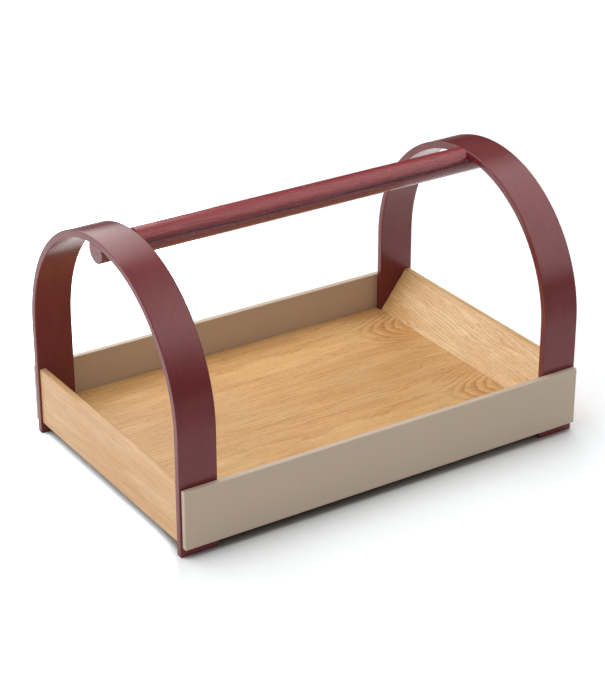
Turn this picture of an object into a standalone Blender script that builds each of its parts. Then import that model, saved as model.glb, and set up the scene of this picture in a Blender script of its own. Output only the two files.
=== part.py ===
"""Wooden carry tray: two bent-wood hoops, a round handle, an oak tray and painted side panels.

The hoops' four legs are the feet. Each leg is held between a side panel on its outer face and
an end block on its inner face, with two countersunk screws that the side panel hides. The base
board has a tongue all round, below the tray's floor. The tongue lies in stopped grooves of the
side panels and in a rebate under each end block, and is screwed up into the blocks. The handle
is notched at both ends to sit under the hoops' crowns.

Metres. X runs along the handle, Y across the tray and Z up. The origin is on the floor, under
the middle of the tray.
"""
import math

import bmesh
import bpy
from mathutils import Vector

# Gap left between pieces that touch
FIT_GAP = 0.0003

# Hoops: a flat band of moulded plywood bent to a half circle with two straight legs
TRAY_LENGTH = 0.442            # between the outer edges of the two hoops
HOOP_SPAN = 0.280              # across the outer faces of one hoop's legs
HOOP_HEIGHT = 0.257            # floor to the crown's outer face
BAND_WIDTH = 0.039
BAND_THICKNESS = 0.007
BAND_EASE = 0.0009             # radius on the band's edges and feet

# Side panels: painted board outside the legs
PANEL_THICKNESS = 0.006
PANEL_HEIGHT = 0.059
PANEL_CLEARANCE = 0.010        # floor to the panel's lower edge
PANEL_END_INSET = 0.0015       # panel end behind the hoop's outer edge
PANEL_EASE = 0.0010
GROOVE_DEPTH = 0.0025          # groove that takes the base board's tongue

# Base board
BASE_THICKNESS = 0.009
BASE_RECESS = 0.011            # base underside above the panel's lower edge
TONGUE_DROP = 0.002            # top of the tongue below the tray's floor

# End blocks: upright outside, sloping inside
BLOCK_INSET = 0.002            # outer face behind the hoop's outer edge
BLOCK_TOP_WIDTH = 0.006
BLOCK_SLOPE_RUN = 0.030        # how far the inner face leans in, from its top to the base board
BLOCK_CREST = 0.001            # block top above the side panel's top
BLOCK_LIFT = 0.001             # block underside above the side panel's lower edge
BLOCK_SKIRT = 0.012            # wood left outside the rebate
BLOCK_EASE = 0.0012

# Handle: a round bar, notched under each crown
HANDLE_DIAMETER = 0.025
HANDLE_CREST = 0.001           # top of the handle above the crowns
HANDLE_END_INSET = 0.0005      # handle end behind the hoop's outer edge
HANDLE_EASE = 0.0010

# Countersunk wood screws
SCREW_DIAMETER = 0.004
SCREW_HEAD_DIAMETER = 0.008
SCREW_HEAD_DEPTH = 0.0026
SCREW_HEAD_RIM = 0.0004
SCREW_POINT = 0.004            # length of the tapered point
SCREW_SINK = 0.0003            # head below the face that it is driven into
LEG_SCREW_BITE = 0.023         # length in the end block
LEG_SCREW_TOP_INSET = 0.008    # upper screw, behind the block's outer face
LEG_SCREW_TOP_DROP = 0.014     # upper screw, below the block's top
LEG_SCREW_LOW_INSET = 0.020    # lower screw, behind the block's outer face
LEG_SCREW_LOW_RISE = 0.008     # lower screw, above the base board
BASE_SCREW_BITE = 0.013        # length in the end block
BASE_SCREW_INSET = 0.008       # behind the base board's end
BASE_SCREW_PITCH = 0.090
BASE_SCREWS_PER_END = 3
HANDLE_SCREW_SINK = 0.003      # head inside the handle's underside
HANDLE_SCREW_COVER = 0.0025    # wood left above the point in the crown

# Facets
BEND_STEPS = 72
HANDLE_STEPS = 64
SCREW_STEPS = 16
SMOOTH_ANGLE = math.radians(35)

# Cutters run this far past what they cut
OVERRUN = 0.002

# Places that follow from the sizes above
HALF_LENGTH = TRAY_LENGTH / 2
HOOP_RADIUS = HOOP_SPAN / 2
BAND_INNER_RADIUS = HOOP_RADIUS - BAND_THICKNESS
SPRING_HEIGHT = HOOP_HEIGHT - HOOP_RADIUS
HOOP_X = HALF_LENGTH - BAND_WIDTH / 2
HOOP_INNER_EDGE = HALF_LENGTH - BAND_WIDTH
PANEL_TOP = PANEL_CLEARANCE + PANEL_HEIGHT
BASE_UNDERSIDE = PANEL_CLEARANCE + BASE_RECESS
BASE_TOP = BASE_UNDERSIDE + BASE_THICKNESS
TONGUE_TOP = BASE_TOP - TONGUE_DROP
BLOCK_FACE = HALF_LENGTH - BLOCK_INSET
BLOCK_TOP = PANEL_TOP + BLOCK_CREST
BLOCK_UNDERSIDE = PANEL_CLEARANCE + BLOCK_LIFT
BLOCK_HALF_WIDTH = BAND_INNER_RADIUS - FIT_GAP
BLOCK_TOE = BLOCK_FACE - BLOCK_TOP_WIDTH - BLOCK_SLOPE_RUN
BASE_END = BLOCK_FACE - BLOCK_SKIRT - FIT_GAP
BASE_SIDE = HOOP_RADIUS + GROOVE_DEPTH
HANDLE_UNDERSIDE = HOOP_HEIGHT + HANDLE_CREST - HANDLE_DIAMETER
HANDLE_HALF_LENGTH = HALF_LENGTH - HANDLE_END_INSET

FINISHES = {
    "burgundy_lacquer": ((0.165, 0.023, 0.026), 0.25),
    "burgundy_stain": ((0.230, 0.021, 0.027), 0.30),
    "taupe_paint": ((0.480, 0.385, 0.290), 0.45),
    "oiled_oak": ((0.790, 0.480, 0.210), 0.45),
    "plated_steel": ((0.550, 0.540, 0.520), 0.30),
}


def clear_scene():
    for obj in list(bpy.data.objects):
        bpy.data.objects.remove(obj, do_unlink=True)


def finish(name):
    """Principled material of one of the tray's finishes."""
    existing = bpy.data.materials.get(name)
    if existing:
        return existing
    colour, roughness = FINISHES[name]
    material = bpy.data.materials.new(name)
    material.use_nodes = True
    shader = material.node_tree.nodes["Principled BSDF"]
    shader.inputs["Base Color"].default_value = (*colour, 1.0)
    shader.inputs["Roughness"].default_value = roughness
    shader.inputs["Metallic"].default_value = 1.0 if name == "plated_steel" else 0.0
    return material


def add_object(name, bm, material=None, location=(0, 0, 0), rotation=(0, 0, 0)):
    """Turn a bmesh into a placed object with outward normals and smooth curves."""
    bmesh.ops.recalc_face_normals(bm, faces=bm.faces)
    mesh = bpy.data.meshes.new(name)
    bm.to_mesh(mesh)
    bm.free()
    mesh.shade_smooth()
    mesh.set_sharp_from_angle(angle=SMOOTH_ANGLE)
    obj = bpy.data.objects.new(name, mesh)
    obj.location = location
    obj.rotation_euler = rotation
    if material:
        mesh.materials.append(finish(material))
    bpy.context.scene.collection.objects.link(obj)
    return obj


def as_cutter(obj):
    obj.hide_render = True
    obj.display_type = "WIRE"
    return obj


def ease_edges(obj, width, segments=2, by_weight=False):
    """Round the sharp edges, or only the weighted ones."""
    bevel = obj.modifiers.new("eased_edges", "BEVEL")
    bevel.width = width
    bevel.segments = segments
    bevel.limit_method = "WEIGHT" if by_weight else "ANGLE"
    bevel.angle_limit = SMOOTH_ANGLE


def cut(obj, cutters):
    for cutter in cutters:
        boolean = obj.modifiers.new("cut_" + cutter.name, "BOOLEAN")
        boolean.operation = "DIFFERENCE"
        boolean.solver = "EXACT"
        boolean.object = cutter


def box(low, high):
    """Box between two corners."""
    bm = bmesh.new()
    bmesh.ops.create_cube(bm, size=1.0)
    size = Vector(high) - Vector(low)
    middle = (Vector(high) + Vector(low)) / 2
    for vert in bm.verts:
        vert.co = middle + Vector(c * s for c, s in zip(vert.co, size))
    return bm


def prism(outline, low, high, axis, eased=()):
    """Extrude an outline along Y or Z and weight the long edges at the named corners."""
    bm = bmesh.new()
    place = {"Y": lambda u, v, w: (u, w, v), "Z": lambda u, v, w: (u, v, w)}[axis]
    face = bm.faces.new([bm.verts.new(place(u, v, low)) for u, v in outline])
    result = bmesh.ops.extrude_face_region(bm, geom=[face])
    moved = [item for item in result["geom"] if isinstance(item, bmesh.types.BMVert)]
    bmesh.ops.translate(bm, verts=moved, vec=place(0, 0, high - low))
    weight = bm.edges.layers.float.new("bevel_weight_edge")
    rounded = [Vector(place(*outline[corner], 0)) for corner in eased]
    along = Vector(place(0, 0, 1))
    for edge in bm.edges:
        ends = [vert.co - vert.co.dot(along) * along for vert in edge.verts]
        if any(all((end - corner).length < FIT_GAP for end in ends) for corner in rounded):
            edge[weight] = 1.0
    return bm


def turned(profile, steps):
    """Turn a profile of (radius, height) points about Z."""
    bm = bmesh.new()
    points = [bm.verts.new((radius, 0, height)) for radius, height in profile]
    edges = [bm.edges.new(pair) for pair in zip(points, points[1:])]
    bmesh.ops.spin(bm, geom=points + edges, cent=(0, 0, 0), axis=(0, 0, 1),
                   angle=math.tau, steps=steps, use_merge=True)
    bmesh.ops.remove_doubles(bm, verts=bm.verts, dist=1e-6)
    return bm


def bent_band(half_width, inner, outer, half_angle, steps, leg=0.0):
    """Bend a flat section over the crown's centre, then extrude straight legs down from both ends."""
    bm = bmesh.new()
    centre = Vector((0, 0, SPRING_HEIGHT))
    start = Vector((0, -math.sin(half_angle), math.cos(half_angle)))
    corners = [(-half_width, inner), (half_width, inner), (half_width, outer), (-half_width, outer)]
    section = bm.faces.new([bm.verts.new(centre + start * r + Vector((x, 0, 0))) for x, r in corners])
    bend = bmesh.ops.spin(bm, geom=[section], cent=centre, axis=(-1, 0, 0),
                          angle=2 * half_angle, steps=steps)
    if leg:
        far_end = [item for item in bend["geom_last"] if isinstance(item, bmesh.types.BMFace)]
        for face in [section] + far_end:
            result = bmesh.ops.extrude_face_region(bm, geom=[face])
            moved = [item for item in result["geom"] if isinstance(item, bmesh.types.BMVert)]
            bmesh.ops.translate(bm, verts=moved, vec=(0, 0, -leg))
            bmesh.ops.delete(bm, geom=[face], context="FACES_ONLY")
    return bm


def screw_profile(length, gap=0.0, overrun=0.0):
    """Half outline of a countersunk screw with its head's face at height 0, pointing down.

    A gap and an overrun turn it into the hole that the screw is driven into.
    """
    head = SCREW_HEAD_DIAMETER / 2 + gap
    shank = SCREW_DIAMETER / 2 + gap
    return [
        (0, overrun),
        (head, overrun),
        (head, -SCREW_HEAD_RIM),
        (shank, -SCREW_HEAD_DEPTH),
        (shank, SCREW_POINT - length),
        (0, -length - gap),
    ]


def screw_in_hole(name, length, location, rotation, sink):
    """Screw and the cutter of its hole."""
    turned_screw = turned(screw_profile(length), SCREW_STEPS)
    add_object(name, turned_screw, "plated_steel", location, rotation)
    hole = turned(screw_profile(length, FIT_GAP, sink + OVERRUN), SCREW_STEPS)
    return as_cutter(add_object(name + "_hole", hole, None, location, rotation))


def leg_screws(end, x_side):
    """Two screws through each leg of one hoop into its end block."""
    head_y = HOOP_RADIUS - SCREW_SINK
    length = BAND_THICKNESS - SCREW_SINK + LEG_SCREW_BITE
    places = {
        "upper": (BLOCK_FACE - LEG_SCREW_TOP_INSET, BLOCK_TOP - LEG_SCREW_TOP_DROP),
        "lower": (BLOCK_FACE - LEG_SCREW_LOW_INSET, BASE_TOP + LEG_SCREW_LOW_RISE),
    }
    holes = []
    for side, y_side in (("front", -1), ("back", 1)):
        for level, (x, z) in places.items():
            name = f"leg_screw_{end}_{side}_{level}"
            location = (x_side * x, y_side * head_y, z)
            turn = (-y_side * math.pi / 2, 0, 0)
            holes.append(screw_in_hole(name, length, location, turn, SCREW_SINK))
    return holes


def base_screws(end, x_side):
    """Row of screws up through the base board's tongue into the end block."""
    head_z = BASE_UNDERSIDE + SCREW_SINK
    length = TONGUE_TOP - head_z + BASE_SCREW_BITE
    x = x_side * (BASE_END - BASE_SCREW_INSET)
    middle = (BASE_SCREWS_PER_END - 1) / 2
    holes = []
    for index in range(BASE_SCREWS_PER_END):
        location = (x, (index - middle) * BASE_SCREW_PITCH, head_z)
        name = f"base_screw_{end}_{index + 1}"
        holes.append(screw_in_hole(name, length, location, (math.pi, 0, 0), SCREW_SINK))
    return holes


def handle_screw(end, x_side):
    """Screw from below through the handle's notched end into the crown."""
    head_z = HANDLE_UNDERSIDE + HANDLE_SCREW_SINK
    length = HOOP_HEIGHT - HANDLE_SCREW_COVER - head_z
    location = (x_side * HOOP_X, 0, head_z)
    return screw_in_hole(f"handle_screw_{end}", length, location, (math.pi, 0, 0), HANDLE_SCREW_SINK)


def hoop(end, x_side, holes):
    bm = bent_band(BAND_WIDTH / 2, BAND_INNER_RADIUS, HOOP_RADIUS, math.pi / 2, BEND_STEPS, SPRING_HEIGHT)
    obj = add_object(f"hoop_{end}", bm, "burgundy_lacquer", (x_side * HOOP_X, 0, 0))
    ease_edges(obj, BAND_EASE)
    cut(obj, holes)


def end_block(end, x_side, holes):
    """Upright outer face, sloping inner face, and a rebate below for the base board's tongue."""
    toe = BLOCK_TOE - BLOCK_FACE
    seat = TONGUE_TOP + FIT_GAP
    outline = [
        (0, BLOCK_UNDERSIDE),
        (0, BLOCK_TOP),
        (-BLOCK_TOP_WIDTH, BLOCK_TOP),
        (toe, BASE_TOP),
        (toe, seat),
        (-BLOCK_SKIRT, seat),
        (-BLOCK_SKIRT, BLOCK_UNDERSIDE),
    ]
    bm = prism(outline, -BLOCK_HALF_WIDTH, BLOCK_HALF_WIDTH, "Y", eased=(0, 1, 2, 6))
    turn = (0, 0, 0 if x_side > 0 else math.pi)
    obj = add_object(f"end_block_{end}", bm, "oiled_oak", (x_side * BLOCK_FACE, 0, 0), turn)
    ease_edges(obj, BLOCK_EASE, segments=3, by_weight=True)
    cut(obj, holes)


def base_board(holes):
    """Board with its corners cut out round the four legs and a tongue all round its floor."""
    leg_x = HOOP_INNER_EDGE - FIT_GAP
    corner = [(BASE_END, BLOCK_HALF_WIDTH), (leg_x, BLOCK_HALF_WIDTH), (leg_x, BASE_SIDE)]
    outline = corner + [(-x, y) for x, y in reversed(corner)]
    outline += [(-x, -y) for x, y in corner] + [(x, -y) for x, y in reversed(corner)]
    obj = add_object("base_board", prism(outline, BASE_UNDERSIDE, BASE_TOP, "Z"), "oiled_oak")
    cut(obj, floor_rebates() + holes)


def floor_rebates():
    """Cutters that leave the tongue below the floor, two along the board's ends and two along its sides."""
    far_x, far_y, top = BASE_END + OVERRUN, BASE_SIDE + OVERRUN, BASE_TOP + OVERRUN
    end = ((BLOCK_TOE - FIT_GAP, -far_y, TONGUE_TOP), (far_x, far_y, top))
    side = ((-far_x, HOOP_RADIUS, TONGUE_TOP), (far_x, far_y, top))
    cutters = []
    for place, corners in (("end", end), ("side", side)):
        for index, turn in enumerate((0, math.pi), 1):
            rebate = add_object(f"rebate_{place}_{index}", box(*corners), rotation=(0, 0, turn))
            cutters.append(as_cutter(rebate))
    return cutters


def side_panel(side, y_side):
    """Eased board outside the legs, with a stopped groove for the base board's tongue."""
    half_length = HALF_LENGTH - PANEL_END_INSET
    inner_face = HOOP_RADIUS + FIT_GAP
    turn = (0, 0, 0 if y_side > 0 else math.pi)
    board = box((-half_length, inner_face, PANEL_CLEARANCE),
                (half_length, inner_face + PANEL_THICKNESS, PANEL_TOP))
    obj = add_object(f"side_panel_{side}", board, "taupe_paint", rotation=turn)
    ease_edges(obj, PANEL_EASE, segments=3)
    groove = box((-HOOP_INNER_EDGE, inner_face - OVERRUN, BASE_UNDERSIDE - FIT_GAP),
                 (HOOP_INNER_EDGE, inner_face + GROOVE_DEPTH, TONGUE_TOP + FIT_GAP))
    cut(obj, [as_cutter(add_object(f"groove_{side}", groove, rotation=turn))])


def handle(holes):
    """Round bar with chamfered ends, cut away where the two crowns lie on it."""
    bm = bmesh.new()
    radius = HANDLE_DIAMETER / 2
    disc = bmesh.ops.create_circle(bm, cap_ends=True, radius=radius, segments=HANDLE_STEPS)
    bmesh.ops.translate(bm, verts=disc["verts"], vec=(0, 0, -HANDLE_HALF_LENGTH))
    result = bmesh.ops.extrude_face_region(bm, geom=list(bm.faces))
    moved = [item for item in result["geom"] if isinstance(item, bmesh.types.BMVert)]
    bmesh.ops.translate(bm, verts=moved, vec=(0, 0, 2 * HANDLE_HALF_LENGTH))
    location = (0, 0, HANDLE_UNDERSIDE + radius)
    obj = add_object("handle", bm, "burgundy_stain", location, (0, math.pi / 2, 0))
    ease_edges(obj, HANDLE_EASE)
    cut(obj, [handle_notch("left", -1), handle_notch("right", 1)] + holes)


def handle_notch(end, x_side):
    """Cutter shaped like the crown, a gap larger all round, and open upwards."""
    shoulder = HOOP_INNER_EDGE - FIT_GAP
    far_side = HALF_LENGTH + OVERRUN
    half_angle = 2 * math.atan(HANDLE_DIAMETER / BAND_INNER_RADIUS)
    steps = round(BEND_STEPS * half_angle / (math.pi / 2))
    bm = bent_band((far_side - shoulder) / 2, BAND_INNER_RADIUS - FIT_GAP,
                   HOOP_RADIUS + HANDLE_DIAMETER, half_angle, steps)
    place = (x_side * (far_side + shoulder) / 2, 0, 0)
    return as_cutter(add_object(f"handle_notch_{end}", bm, location=place))


def group_under_empty():
    """Parent every piece to one empty, so that the tray can be placed as a whole."""
    empty = bpy.data.objects.new("carry_tray", None)
    pieces = [obj for obj in bpy.data.objects if obj.type == "MESH"]
    bpy.context.scene.collection.objects.link(empty)
    for obj in pieces:
        obj.parent = empty


def main():
    clear_scene()
    all_base_holes, all_handle_holes = [], []
    for end, x_side in (("left", -1), ("right", 1)):
        leg_holes = leg_screws(end, x_side)
        base_holes = base_screws(end, x_side)
        crown_hole = handle_screw(end, x_side)
        hoop(end, x_side, leg_holes + [crown_hole])
        end_block(end, x_side, leg_holes + base_holes)
        all_base_holes += base_holes
        all_handle_holes.append(crown_hole)
    base_board(all_base_holes)
    side_panel("front", -1)
    side_panel("back", 1)
    handle(all_handle_holes)
    group_under_empty()


main()
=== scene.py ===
"""Looks of the wooden carry tray: two bent hoops, a round handle, an oak tray and painted side panels.

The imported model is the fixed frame. The hoops, handle, end blocks, side panels and screws are
modelled here with finer surfaces in the places of their solids. The base board keeps its own
solid and gets its oak. Sizes are in metres, and the patterns of the finishes in millimetres.
"""
from __future__ import annotations

import logging
import math
from dataclasses import dataclass, field
from enum import Enum
from functools import partial
from typing import Iterable

import bmesh
import bpy
from mathutils import Matrix, Vector


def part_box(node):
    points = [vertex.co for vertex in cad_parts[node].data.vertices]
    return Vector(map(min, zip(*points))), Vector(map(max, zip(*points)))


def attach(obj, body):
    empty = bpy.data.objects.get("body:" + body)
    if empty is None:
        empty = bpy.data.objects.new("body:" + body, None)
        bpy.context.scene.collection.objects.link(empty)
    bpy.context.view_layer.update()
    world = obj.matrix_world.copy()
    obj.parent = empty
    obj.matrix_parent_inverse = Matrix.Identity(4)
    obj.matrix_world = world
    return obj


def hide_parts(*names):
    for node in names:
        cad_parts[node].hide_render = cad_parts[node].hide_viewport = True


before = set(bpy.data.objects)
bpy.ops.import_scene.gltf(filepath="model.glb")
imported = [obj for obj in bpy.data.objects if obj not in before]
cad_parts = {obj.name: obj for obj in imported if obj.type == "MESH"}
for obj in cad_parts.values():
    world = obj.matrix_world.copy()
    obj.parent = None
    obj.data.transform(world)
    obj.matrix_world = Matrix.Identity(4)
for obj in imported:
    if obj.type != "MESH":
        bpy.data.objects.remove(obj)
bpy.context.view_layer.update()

log = logging.getLogger("carry_tray")

BODY = "root"
PER_MM = 1000.0                 # turns metres into millimetres
SMOOTH_ANGLE = math.radians(35)
CAMERA_AZIMUTH = math.radians(-32.896)
NOISE_BULK = (0.3, 0.7)         # most values of a noise lie between these

MATH = "ShaderNodeMath"
VECTOR = "ShaderNodeVectorMath"
MIX = "ShaderNodeMix"           # mixes numbers by inputs 0, 2, 3, and colours by inputs 0, 6, 7 into output 2
MAPPING = "ShaderNodeMapping"
NOISE = "ShaderNodeTexNoise"
RANGE = "ShaderNodeMapRange"    # runs from 0 to 1 where its inputs 3 and 4 are left out
COMBINE = "ShaderNodeCombineXYZ"
SEPARATE = "ShaderNodeSeparateXYZ"
BUMP = "ShaderNodeBump"
SURFACE = "ShaderNodeBsdfPrincipled"

Colour = tuple[float, float, float, float]
Point = tuple[float, float]
Point3 = tuple[float, float, float]


class Place(Enum):
    """A choice of place on the tray."""

    @property
    def word(self) -> str:
        """Its name as it stands in the pieces' names."""
        return self.name.lower()


class End(Place):
    """The tray's two ends, with the side of X that each lies on."""

    LEFT = -1
    RIGHT = 1


class Side(Place):
    """The tray's two long sides, with the side of Y that each lies on."""

    FRONT = -1
    BACK = 1


class Grain(Enum):
    """Which way the wood's fibres run, as the turn about Z that brings them onto X."""

    ALONG_TRAY = 0.0
    ACROSS_TRAY = -math.pi / 2


def linear(code: str) -> Colour:
    """Turn an sRGB hex colour into linear light.

    Args:
        code: Six hex digits, such as "6b2f35".

    Returns:
        Red, green, blue and an alpha of 1.
    """
    shares = [int(code[i:i + 2], 16) / 255 for i in (0, 2, 4)]
    light = [c / 12.92 if c <= 0.04045 else ((c + 0.055) / 1.055) ** 2.4 for c in shares]
    return (*light, 1.0)


def add_node(tree: bpy.types.NodeTree, kind: str, inputs: dict | tuple = (),
             **settings: object) -> bpy.types.Node:
    """Add a node, set its properties, and fill or link its sockets.

    Args:
        tree: Tree that gets the node.
        kind: Blender's name for the kind of node.
        inputs: Value, socket or node (for its first output) for each input, in order or by name or number.
        settings: Properties of the node itself.

    Returns:
        The new node.
    """
    node = tree.nodes.new(kind)
    for name, value in settings.items():
        setattr(node, name, value)
    for key, value in inputs.items() if isinstance(inputs, dict) else enumerate(inputs):
        source = value.outputs[0] if isinstance(value, bpy.types.Node) else value
        if isinstance(source, bpy.types.NodeSocket):
            tree.links.new(source, node.inputs[key])
        else:
            node.inputs[key].default_value = source
    return node


@dataclass(frozen=True)
class Finish:
    """A surface finish, made into a material the first time that it is asked for."""

    name: str

    def shader(self, tree: bpy.types.NodeTree) -> bpy.types.Node:
        """Add this finish's nodes and return the shader at their end."""
        raise NotImplementedError

    def material(self) -> bpy.types.Material:
        """Return the finish's material.

        Returns:
            The material of this name, made now if there is none yet.
        """
        existing = bpy.data.materials.get(self.name)
        if existing:
            return existing
        made = bpy.data.materials.new(self.name)
        made.use_nodes = True
        made.node_tree.nodes.clear()
        add_node(made.node_tree, "ShaderNodeOutputMaterial", {"Surface": self.shader(made.node_tree)})
        return made


def place_in_mm(tree: bpy.types.NodeTree, turn: float = 0.0) -> bpy.types.Node:
    """Add the place on a piece, in millimetres.

    Args:
        tree: Tree that gets the nodes.
        turn: Turn about Z that brings the wood's fibres onto X.

    Returns:
        The node whose first output is the place.
    """
    coords = add_node(tree, "ShaderNodeTexCoord").outputs["Object"]
    return add_node(tree, MAPPING, {"Vector": coords, "Rotation": (0.0, 0.0, turn), "Scale": (PER_MM,) * 3})


def stretched_noise(tree: bpy.types.NodeTree, vector: object, size: Point3, detail: float) -> bpy.types.Node:
    """Add noise whose blobs have a given size in millimetres.

    Args:
        tree: Tree that gets the nodes.
        vector: Socket or node with a place in millimetres.
        size: Length of a blob along each axis, in millimetres.
        detail: Octaves of finer noise in it.

    Returns:
        The noise node, whose first output runs from 0 to 1 about a mean of 0.5.
    """
    stretch = add_node(tree, MAPPING, {"Vector": vector, "Scale": tuple(1 / s for s in size)})
    return add_node(tree, NOISE, {"Vector": stretch, "Scale": 1.0, "Detail": detail})


def curve(tree: bpy.types.NodeTree, value: object, stops: Iterable[Point]) -> bpy.types.Node:
    """Add a curve of straight stretches.

    Args:
        tree: Tree that gets the nodes.
        value: Socket or node with the value that it is read at.
        stops: Value and level of each of its corners, in rising order.

    Returns:
        The node whose first output is the level.
    """
    stops = list(stops)
    first, last = stops[0][0], stops[-1][0]
    share = add_node(tree, RANGE, (value, first, last))
    ramp = add_node(tree, "ShaderNodeValToRGB", (share,))
    corners = ramp.color_ramp.elements
    for place, _ in stops[1:-1]:
        corners.new((place - first) / (last - first))
    for corner, (_, level) in zip(corners, stops):
        corner.color = (level, level, level, 1.0)
    return ramp


@dataclass(frozen=True)
class Oak(Finish):
    """Plain-sliced oak, oiled: a ring-porous wood with rows of long pores in each ring's first wood.

    The rings are tubes round the tree's pith, which lies below the face. Where the face dips
    towards the pith at its ends the tubes show as nested arches, and to the sides as fine lines.
    Its patterns' sizes are in millimetres, along, across and through the wood.
    """

    grain: Grain = Grain.ALONG_TRAY
    tilt: float = 0.0           # degrees that the fibres stray from the grain's axis
    leaf_width: float = 0.0     # width of one veneer leaf, laid again beside itself, or 0 for one piece
    pith_across: float = 0.0    # pith sideways of the middle
    pith_below: float = 32.0    # pith below the face
    end_rise: float = 0.0       # how much nearer the pith comes where the arches are
    arches: Point = (124.0, 186.0)          # places along the face between which it does
    rise_power: float = 1.25                # above 1, the pith rises late between them
    quiet_rise: Point = (0.3, 0.8)          # rise at which rings show in full, and their faintness without it
    ring_width: float = 3.1
    ring_strength: Point = (0.42, 0.85)     # how much the rings show, edge on and in the arches
    flat_power: float = 4.0                 # how soon they fade away from the flat wood over the pith
    flat_range: Point = (0.20, 0.95)        # flatness between which their strength changes
    waviness: float = 1.0                   # how much of the waves' heights the rings stray
    slow_wave: Point3 = (120.0, 30.0, 30.0)
    quick_wave: Point3 = (35.0, 6.0, 6.0)
    wave_heights: Point = (6.0, 1.6)        # of the slow wave and the quick one
    year_wave: Point = (3.0, 1.6)           # over how many rings the years differ, and by how many
    knot: Point | None = None               # pin knot's place along and across a leaf
    knot_reach: float = 7.0
    knot_swell: float = 5.0                 # how far it pushes the rings aside
    first_wood: tuple[Point, ...] = (       # how dark and open the wood is, through one ring
        (0.0, 0.5), (0.06, 1.0), (0.22, 0.75), (0.6, 0.2), (0.92, 0.0), (1.0, 0.12))
    drift: Point3 = (90.0, 16.0, 16.0)      # patches of paler and browner wood
    fibres: Point3 = (36.0, 0.9, 0.9)
    fibre_range: Point = (0.25, 0.75)
    fibre_shade: Point = (0.83, 1.17)       # brightness of dark and pale fibres
    fibre_height: float = 0.25              # next to the pores' depth
    pores: Point3 = (5.0, 0.8, 0.8)         # wider than real ones of 0.3 mm, which are too fine to show
    pore_range: Point = (0.56, 0.68)
    pore_depth: float = 0.5                 # how much they show
    pale: str = "ddb479"
    honey: str = "cf9d61"
    ring_line: str = "b27338"
    pore: str = "9e581d"
    roughness: Point = (0.34, 0.60)         # of the wood and in its pores
    bump: Point = (0.6, 0.00008)            # strength, and depth in metres
    ior: float = 1.48

    def shader(self, tree: bpy.types.NodeTree) -> bpy.types.Node:
        """Add the oak's rings, fibres and pores.

        Args:
            tree: The material's tree.

        Returns:
            Their shader.
        """
        add = partial(add_node, tree)
        place = place_in_mm(tree, self.grain.value + math.radians(self.tilt))
        along, across, height = add(SEPARATE, (place,)).outputs
        across = add(MATH, (across, self.pith_across), operation="SUBTRACT")
        if self.leaf_width:
            across = add(MATH, (across, self.leaf_width / 2, -self.leaf_width / 2), operation="WRAP")
        leaf = add(COMBINE, (along, across, height))

        rings, strength = self.rings(tree, leaf, along, across, height)
        first_wood = curve(tree, add(MATH, (rings,), operation="FRACT"), self.first_wood)
        drift = stretched_noise(tree, leaf, self.drift, 2)
        fibre = stretched_noise(tree, leaf, self.fibres, 3)
        pores = stretched_noise(tree, leaf, self.pores, 1)
        pore_mask = add(RANGE, (pores, *self.pore_range))
        half_depth = self.pore_depth / 2
        room = add(MATH, (first_wood, half_depth, half_depth), operation="MULTIPLY_ADD")
        pore_mask = add(MATH, (pore_mask, room), operation="MULTIPLY")

        body = add(RANGE, (drift, *NOISE_BULK))
        wood = add(MIX, {0: body, 6: linear(self.pale), 7: linear(self.honey)}, data_type="RGBA")
        streak = add(RANGE, (fibre, *self.fibre_range, *self.fibre_shade))
        wood = add(VECTOR, {0: wood.outputs[2], 3: streak}, operation="SCALE")
        line = add(MATH, (first_wood, strength), operation="MULTIPLY")
        wood = add(MIX, {0: line, 6: wood, 7: linear(self.ring_line)}, data_type="RGBA")
        wood = add(MIX, {0: pore_mask, 6: wood.outputs[2], 7: linear(self.pore)}, data_type="RGBA")

        relief = add(MATH, (pore_mask, -1.0, 1.0), operation="MULTIPLY_ADD")
        relief = add(MATH, (fibre, self.fibre_height, relief), operation="MULTIPLY_ADD")
        bump = add(BUMP, {"Height": relief, "Strength": self.bump[0], "Distance": self.bump[1]})
        dull = add(RANGE, (pore_mask, 0.0, 1.0, *self.roughness))
        return add(SURFACE, {"Base Color": wood.outputs[2], "Roughness": dull, "Normal": bump,
                             "IOR": self.ior})

    def rings(self, tree: bpy.types.NodeTree, leaf: object, along: object, across: object,
              height: object) -> tuple[bpy.types.Node, bpy.types.Node]:
        """Add the distance from the pith, counted in rings.

        Args:
            tree: Tree that gets the nodes.
            leaf: Place in the leaf, in millimetres.
            along: Place along the fibres.
            across: Place across the leaf.
            height: Place above the floor.

        Returns:
            The node with the ring's number and share, and the node with how strongly it shows, up to 1.
        """
        add = partial(add_node, tree)
        rise = add(RANGE, (along, *self.arches))
        rise = add(MATH, (rise, self.rise_power), operation="POWER")
        depth = add(MATH, (rise, -self.end_rise, self.pith_below), operation="MULTIPLY_ADD")
        depth = add(MATH, (depth, height), operation="ADD")
        radius = add(VECTOR, (add(COMBINE, (across, depth)),), operation="LENGTH").outputs["Value"]
        flatness = add(MATH, (depth, radius), operation="DIVIDE")
        flatness = add(MATH, (flatness, self.flat_power), operation="POWER")
        strength = add(RANGE, (flatness, *self.flat_range, *self.ring_strength),
                       interpolation_type="SMOOTHSTEP")
        if self.end_rise:
            full_rise, faintness = self.quiet_rise
            off_arches = add(RANGE, (rise, 0.0, full_rise, faintness, 0.0))
            off_arches = add(MATH, (off_arches, flatness), operation="MULTIPLY")
            off_arches = add(MATH, (1.0, off_arches), operation="SUBTRACT")
            strength = add(MATH, (strength, off_arches), operation="MULTIPLY")
        slow = stretched_noise(tree, leaf, self.slow_wave, 1)
        quick = stretched_noise(tree, leaf, self.quick_wave, 2)
        slow_height, quick_height = (self.waviness * high for high in self.wave_heights)
        spread, swing = (self.ring_width * count for count in self.year_wave)
        years = add(NOISE, {"W": radius, "Scale": 1 / spread, "Detail": 1.0}, noise_dimensions="1D")
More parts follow.
